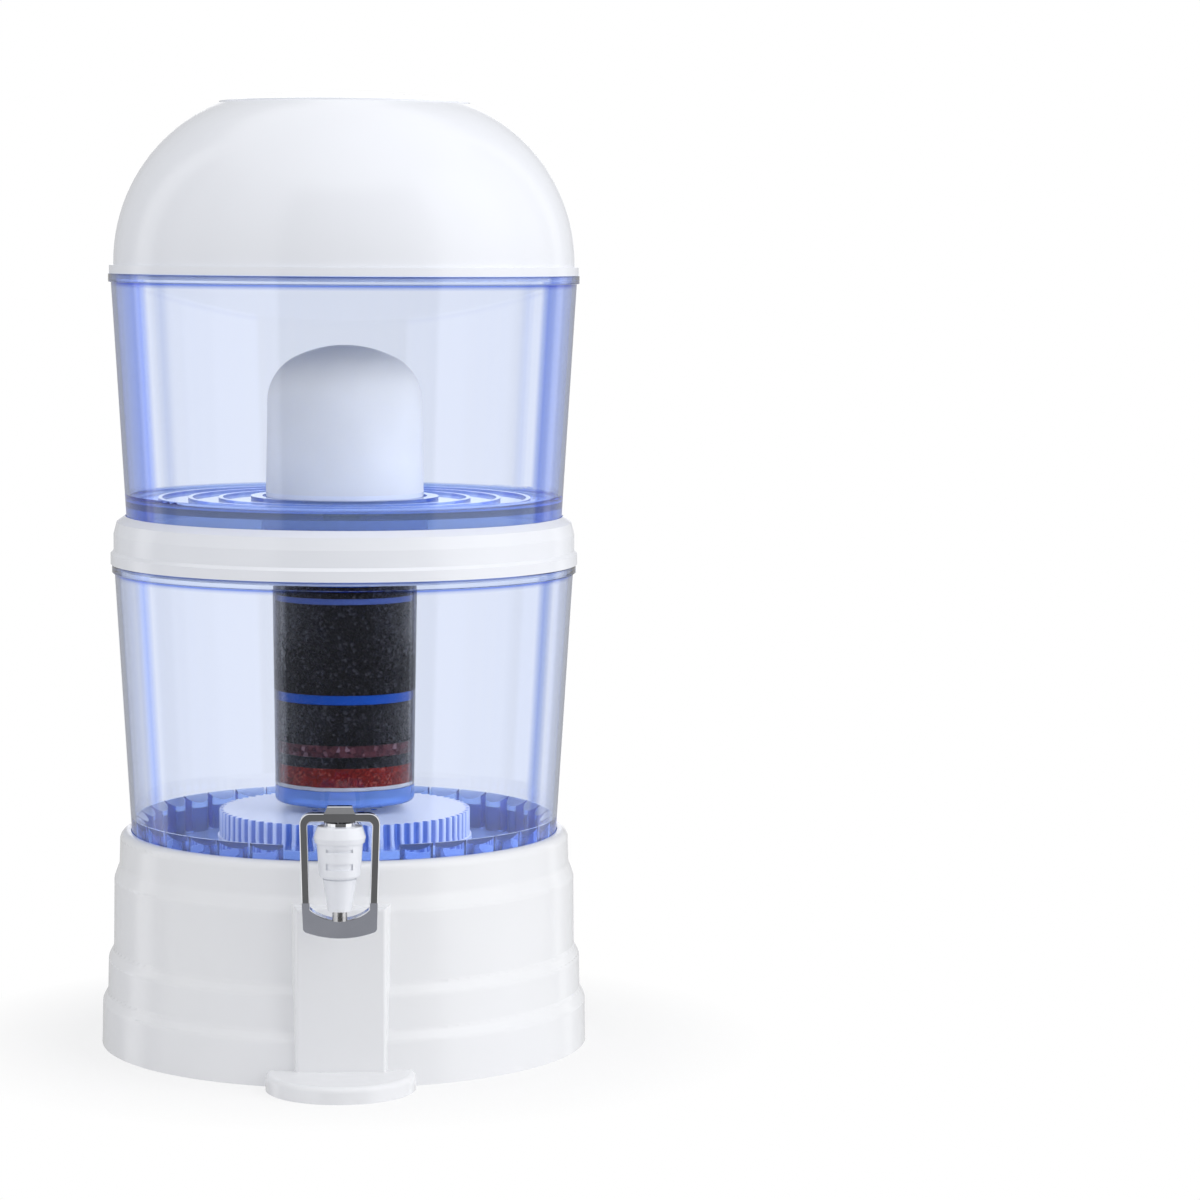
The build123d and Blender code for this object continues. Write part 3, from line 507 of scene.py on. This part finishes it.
# Painted shade: the tube's glancing edges beside the layers are darkened in its colour.
tube_edge_painted_shade = (0.10, 0.11, 0.18)
tube_glance = tube_tree.nodes.new("ShaderNodeLayerWeight")
tube_glance.inputs["Blend"].default_value = 0.5
edge_shade = tones(tube_tree, tube_glance.outputs["Facing"], (0.55, clear), (0.68, tube_edge_painted_shade))
tube_place = tube_tree.nodes.new("ShaderNodeTexCoord")
tube_parts = tube_tree.nodes.new("ShaderNodeSeparateXYZ")
tube_tree.links.new(tube_place.outputs["Object"], tube_parts.inputs["Vector"])
layers_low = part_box("mineral_bed")[0][2]
shade_fade = 0.001
beside_layers = spread(tube_tree, tube_parts.outputs["Z"], 0.0, 1.0, layers_low - shade_fade, layers_low)
tube_tree.links.new(blended(tube_tree, beside_layers, clear, edge_shade), tube_shader.inputs["Base Color"])
dress(tube_plastic, "cartridge_shell")
outlet_plastic, _, outlet_shader = clear_plastic(
    "outlet_plastic", (0.10, 0.34, 0.86), 40.0, (0.85, 0.92, 1.0), rough=0.12)
outlet_shader.inputs["Base Color"].default_value = (0.26, 0.45, 0.92, 1.0)
outlet_shader.inputs["Transmission Weight"].default_value = 0.6
outlet_shader.inputs["Specular Tint"].default_value = (0.3, 0.3, 0.36, 1.0)
dress(outlet_plastic, "cartridge_foot")


def packed_grains(name, dark, light, painted_glint, grain, gloss, sheen):
    """The finish of a bed of packed grains, each with its own tone and polish, and a painted glint on a few
    of them.
    """
    finish, tree, shader = new_finish(name)
    coordinates = tree.nodes.new("ShaderNodeTexCoord")
    cells = tree.nodes.new("ShaderNodeTexVoronoi")
    cells.inputs["Scale"].default_value = 1.0 / grain
    tree.links.new(coordinates.outputs["Object"], cells.inputs["Vector"])
    tree.links.new(
        tones(tree, cells.outputs["Color"], (0.2, dark), (0.74, light), (0.84, painted_glint)),
        shader.inputs["Base Color"])
    tree.links.new(spread(tree, cells.outputs["Color"], *gloss), shader.inputs["Roughness"])
    shader.inputs["Specular IOR Level"].default_value = sheen
    relief(tree, shader, cells.outputs["Distance"], grain * 0.4, 0.7)
    return finish


def felt(name, pale, deep):
    """The finish of a pad of needled fibre or open foam."""
    finish, tree, shader = new_finish(name)
    fibre_scale, fibre_stretch = 900.0, (1.0, 1.0, 3.0)
    fibres = mottle(tree, fibre_scale, 6.0, fibre_stretch)
    tree.links.new(tones(tree, fibres, (0.3, deep), (0.7, pale)), shader.inputs["Base Color"])
    tree.links.new(spread(tree, fibres, 0.75, 0.95), shader.inputs["Roughness"])
    shader.inputs["Specular IOR Level"].default_value = 0.1
    relief(tree, shader, fibres, 0.0003, 0.6)
    return finish


def drum(node, step, edge):
    """Outline of a layer in the tube, with rows a step apart and a small round at its edges."""
    low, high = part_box(node)
    radius = high[0]
    rows = max(2, round((high[2] - low[2] - 2.0 * edge) / step))
    rise = (high[2] - low[2] - 2.0 * edge) / rows
    side = [(radius, low[2] + edge + rise * row) for row in range(rows + 1)]
    inner = radius - edge
    halfway = inner * 0.6
    return [(0, low[2]), (halfway, low[2]), (inner, low[2]), *side,
            (inner, high[2]), (halfway, high[2]), (0, high[2])], radius


def drawn_in(spot, share):
    """A point moved towards the tube's axis by a share of its radius."""
    return Vector((spot.x * (1.0 - share), spot.y * (1.0 - share), spot.z))


def grain_bed(node, finish, grain, depth):
    """A layer of packed grains whose side shows each grain's round back."""
    mesh_step = grain * 0.4
    edge_round = grain * 0.15
    grain_reach = 0.8
    outline, radius = drum(node, mesh_step, edge_round)

    def hollow(spot):
        apart = noise.voronoi(spot / grain)[0][0]
        inwards = depth * min(1.0, apart / grain_reach) ** 2
        return drawn_in(spot, inwards / radius)

    sides = round(2.0 * math.pi * radius / mesh_step)
    bed = lathe(node + "_grains", outline, sides, "cartridge", finish, hollow)
    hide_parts(node)


def fibre_pad(node, finish, fuzz):
    """A felt or foam layer with a slightly uneven, fibrous side."""
    mesh_step, edge_round, pad_sides = 0.0008, 0.0003, 320
    tuft_scale = 900.0
    outline, radius = drum(node, mesh_step, edge_round)

    def uneven(spot):
        tufts = fuzz * (0.5 + 0.5 * noise.noise(spot * tuft_scale)) * 0.6
        ends = fuzz * 0.4 * noise.random()
        return drawn_in(spot, (tufts + ends) / radius)

    pad = lathe(node + "_fibre", outline, pad_sides, "cartridge", finish, uneven)
    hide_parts(node)


red_grain, fine_grain, silica_grain, coarse_grain, ball_grain = 0.0012, 0.0012, 0.0014, 0.0018, 0.0028
fine_hollow, coarse_hollow, ball_hollow = 0.0003, 0.0005, 0.0008
carbon = packed_grains(
    "carbon", (0.002, 0.002, 0.003), (0.010, 0.010, 0.013), (0.05, 0.05, 0.06),
    grain=0.0016, gloss=(0.2, 0.6), sheen=0.18)
red_mineral = packed_grains(
    "red_mineral", (0.14, 0.008, 0.006), (0.30, 0.018, 0.012), (0.42, 0.08, 0.06),
    grain=red_grain, gloss=(0.4, 0.7), sheen=0.06)
brown_mineral = packed_grains(
    "brown_mineral", (0.06, 0.016, 0.022), (0.15, 0.05, 0.06), (0.28, 0.16, 0.19),
    grain=ball_grain, gloss=(0.4, 0.7), sheen=0.08)
noise.seed_set(7)
grain_bed("mineral_bed", red_mineral, red_grain, fine_hollow)
grain_bed("fine_carbon_bed", carbon, fine_grain, fine_hollow)
grain_bed("ball_bed", brown_mineral, ball_grain, ball_hollow)
grain_bed("zeolite_bed", carbon, coarse_grain, coarse_hollow)
grain_bed("carbon_bed", carbon, coarse_grain, coarse_hollow)
grain_bed("silica_bed", carbon, silica_grain, fine_hollow)
blue_felt = felt("blue_felt", (0.006, 0.11, 0.58), (0.004, 0.08, 0.46))
pale_felt = felt("pale_felt", (0.16, 0.24, 0.62), (0.11, 0.18, 0.52))
white_felt = felt("white_felt", (0.80, 0.80, 0.82), (0.70, 0.70, 0.73))
dark_foam = felt("dark_foam", (0.020, 0.020, 0.024), (0.008, 0.008, 0.010))
fibre_pad("outlet_pad", white_felt, fuzz=0.0002)
fibre_pad("divider_disc", blue_felt, fuzz=0.0003)
fibre_pad("upper_pad", pale_felt, fuzz=0.0003)
fibre_pad("inlet_screen", blue_felt, fuzz=0.0001)
fibre_pad("inlet_sponge", dark_foam, fuzz=0.0004)


# Lid.
# A white injection-moulded dome with a shallow raised crown. It rests loose on the upper tank's rim and
# lifts off for filling.

dress(cool_plastic, "lid")


# Floor, studio and camera.
# A white sweep with a soft contact shadow, two tall softboxes and an overhead one in a studio whose walls
# the gloss shows, and a long lens at the photograph's height.

def sees_backdrop(tree, *kinds):
    """1 for the rays that show the backdrop, such as the camera's and refracted ones."""
    rays = tree.nodes.new("ShaderNodeLightPath")
    total = rays.outputs[kinds[0]]
    for kind in kinds[1:]:
        joined = tree.nodes.new("ShaderNodeMath")
        joined.operation = "MAXIMUM"
        tree.links.new(total, joined.inputs[0])
        tree.links.new(rays.outputs[kind], joined.inputs[1])
        total = joined.outputs[0]
    return total


floor_side = 0.5
floor_mesh = bpy.data.meshes.new("floor")
floor_mesh.from_pydata(
    [(-floor_side, -floor_side, 0), (floor_side, -floor_side, 0),
     (floor_side, floor_side, 0), (-floor_side, floor_side, 0)], [], [(0, 1, 2, 3)])
floor = bpy.data.objects.new("floor", floor_mesh)
bpy.context.scene.collection.objects.link(floor)
floor_paint, floor_tree, floor_shader = new_finish("floor_paint")
floor_shader.inputs["Base Color"].default_value = (0.85, 0.85, 0.86, 1.0)
floor_shader.inputs["Roughness"].default_value = 0.6
floor_shader.inputs["Specular IOR Level"].default_value = 0.0
glow = floor_tree.nodes.new("ShaderNodeEmission")
lit_floor = floor_tree.nodes.new("ShaderNodeMixShader")
share = floor_tree.nodes.new("ShaderNodeMath")
share.operation = "MULTIPLY"
where = floor_tree.nodes.new("ShaderNodeNewGeometry")
reach = floor_tree.nodes.new("ShaderNodeVectorMath")
reach.operation = "LENGTH"
shadow_reach, white_reach = 0.15, 0.24
least_glow = 0.7
floor_tree.links.new(where.outputs["Position"], reach.inputs[0])
floor_tree.links.new(
    spread(floor_tree, reach.outputs["Value"], least_glow, 1.0, shadow_reach, white_reach), share.inputs[0])
floor_tree.links.new(
    sees_backdrop(floor_tree, "Is Camera Ray", "Is Glossy Ray", "Is Transmission Ray"), share.inputs[1])
floor_tree.links.new(share.outputs[0], lit_floor.inputs["Fac"])
floor_tree.links.new(floor_shader.outputs["BSDF"], lit_floor.inputs[1])
floor_tree.links.new(glow.outputs["Emission"], lit_floor.inputs[2])
floor_tree.links.new(lit_floor.outputs["Shader"], floor_tree.nodes["Material Output"].inputs["Surface"])
floor_mesh.materials.append(floor_paint)
floor.visible_glossy = False

studio = bpy.data.worlds.new("studio")
bpy.context.scene.world = studio
studio.use_nodes = True
studio_tree = studio.node_tree
ambient = studio_tree.nodes["Background"]
ambient.inputs["Color"].default_value = (0.97, 0.98, 1.0, 1.0)
ambient_strength = 0.60
ambient.inputs["Strength"].default_value = ambient_strength
backdrop = studio_tree.nodes.new("ShaderNodeBackground")
outward = studio_tree.nodes.new("ShaderNodeTexCoord")
outward_parts = studio_tree.nodes.new("ShaderNodeSeparateXYZ")
towards_camera = studio_tree.nodes.new("ShaderNodeMath")
towards_camera.operation = "MULTIPLY"
towards_camera.inputs[1].default_value = -1.0
azimuth = studio_tree.nodes.new("ShaderNodeMath")
azimuth.operation = "ARCTAN2"
studio_tree.links.new(outward.outputs["Generated"], outward_parts.inputs["Vector"])
studio_tree.links.new(outward_parts.outputs["Y"], towards_camera.inputs[0])
studio_tree.links.new(outward_parts.outputs["X"], azimuth.inputs[0])
studio_tree.links.new(towards_camera.outputs[0], azimuth.inputs[1])
wall_tones = [
    (-180, 0.95), (-173, 0.95), (-171, 0.38), (-127, 0.38), (-124, 0.95), (-111, 0.95),
    (-108, 0.45), (-99, 0.45), (-95, 0.70), (-69, 0.70), (-67, 0.84), (-33, 0.84),
    (-31, 0.10), (47, 0.10), (49, 0.92), (94, 0.92), (97, 0.70), (118, 0.70),
    (122, 0.50), (129, 0.50), (131, 0.85), (137, 0.85), (141, 0.50), (171, 0.38), (173, 0.95), (180, 0.95)]
ceiling_tone = (0.9, 0.9, 0.9)
table_tone = (0.21, 0.215, 0.235)
round_the_room = spread(studio_tree, azimuth.outputs[0], 0.0, 1.0, -math.pi, math.pi)
wall_colour = tones(
    studio_tree, round_the_room, *[(0.5 + turn / 360.0, (tone,) * 3) for turn, tone in wall_tones])
ceiling_share = spread(studio_tree, outward_parts.outputs["Z"], 0.0, 1.0, 0.7, 0.8)
table_share = spread(studio_tree, outward_parts.outputs["Z"], 1.0, 0.0, -0.5, -0.4)
above_table = blended(studio_tree, ceiling_share, wall_colour, ceiling_tone)
room_colour = blended(studio_tree, table_share, above_table, table_tone)
rays = studio_tree.nodes.new("ShaderNodeLightPath")
mirrored = spread(studio_tree, rays.outputs["Glossy Depth"], 0.0, 1.0, 0.0, 1.0)
white = (1.0, 1.0, 1.0)
studio_tree.links.new(blended(studio_tree, mirrored, white, room_colour), backdrop.inputs["Color"])
mirror_gain = 1.4
mirrored_strength = spread(studio_tree, rays.outputs["Glossy Depth"], 1.0, mirror_gain, 0.0, 1.0)
light_through_tank = studio_tree.nodes.new("ShaderNodeMath")
light_through_tank.operation = "MULTIPLY"
bright_belt = studio_tree.nodes.new("ShaderNodeMath")
bright_belt.operation = "MULTIPLY"
belt_edge = (0.1, 0.1, 0.1)
belt_left, belt_right = 0.8, 2.8
belt_share = tones(
    studio_tree, outward_parts.outputs["Z"],
    (0.0, belt_edge), (0.05, white), (0.78, white), (0.86, belt_edge))
studio_tree.links.new(
    spread(studio_tree, outward_parts.outputs["X"], belt_left, belt_right, -0.8, 0.8),
    bright_belt.inputs[0])
studio_tree.links.new(belt_share, bright_belt.inputs[1])
studio_tree.links.new(
    spread(studio_tree, rays.outputs["Diffuse Depth"], 0.0, 1.0, 0.0, 1.0), light_through_tank.inputs[0])
studio_tree.links.new(bright_belt.outputs[0], light_through_tank.inputs[1])
backdrop_strength = studio_tree.nodes.new("ShaderNodeMath")
studio_tree.links.new(mirrored_strength, backdrop_strength.inputs[0])
studio_tree.links.new(light_through_tank.outputs[0], backdrop_strength.inputs[1])
studio_tree.links.new(backdrop_strength.outputs[0], backdrop.inputs["Strength"])
with_backdrop = studio_tree.nodes.new("ShaderNodeMixShader")
studio_tree.links.new(
    sees_backdrop(studio_tree, "Is Camera Ray", "Is Glossy Ray", "Is Transmission Ray"),
    with_backdrop.inputs["Fac"])
studio_tree.links.new(ambient.outputs["Background"], with_backdrop.inputs[1])
studio_tree.links.new(backdrop.outputs["Background"], with_backdrop.inputs[2])
studio_tree.links.new(with_backdrop.outputs["Shader"], studio_tree.nodes["World Output"].inputs["Surface"])


def softbox(name, azimuth, elevation, width, height, brightness):
    """A soft lamp seen from the object at an azimuth from the camera and an elevation, in degrees."""
    distance = 1.6
    aim = Vector((0.0, 0.0, 0.27))
    lamp = bpy.data.lights.new(name, "AREA")
    lamp.shape = "RECTANGLE"
    lamp.size = width
    lamp.size_y = height
    lamp.energy = brightness * math.pi * width * height
    turn = math.radians(azimuth)
    rise = math.radians(elevation)
    towards = Vector((math.sin(turn) * math.cos(rise), -math.cos(turn) * math.cos(rise), math.sin(rise)))
    stand = bpy.data.objects.new(name, lamp)
    stand.location = aim + towards * distance
    stand.rotation_mode = "QUATERNION"
    stand.rotation_quaternion = towards.to_track_quat("Z", "Y")
    stand.visible_glossy = False
    stand.visible_transmission = False
    bpy.context.scene.collection.objects.link(stand)


softbox("left_softbox", azimuth=-60.0, elevation=28.0, width=1.4, height=1.8, brightness=0.66)
softbox("right_softbox", azimuth=62.0, elevation=24.0, width=1.4, height=1.8, brightness=1.7)
softbox("overhead_softbox", azimuth=10.0, elevation=70.0, width=1.3, height=1.3, brightness=0.58)

clear_bounces = 16
shadow_layers = 24
bpy.context.scene.view_settings.view_transform = "Standard"
bpy.context.scene.cycles.max_bounces = clear_bounces
bpy.context.scene.cycles.transmission_bounces = clear_bounces
bpy.context.scene.cycles.transparent_max_bounces = shadow_layers

camera_reach = 2.177
camera_height = 0.454
camera_tilt = math.radians(5.335)
camera_pan = math.radians(3.77)
camera_roll = math.radians(-0.344)
camera_turn = math.radians(0.918)
focal_pixels = 3856.0
picture_side = 1200.0
camera_data = bpy.data.cameras.new("camera")
camera_data.sensor_width = 36.0
camera_data.lens = focal_pixels / picture_side * camera_data.sensor_width
camera_data.clip_end = 60.0
camera = bpy.data.objects.new("camera", camera_data)
camera.location = (
    camera_reach * math.sin(camera_turn), -camera_reach * math.cos(camera_turn), camera_height)
camera.rotation_euler = (math.pi / 2 - camera_tilt, camera_roll, camera_turn - camera_pan)
bpy.context.scene.collection.objects.link(camera)
bpy.context.scene.camera = camera
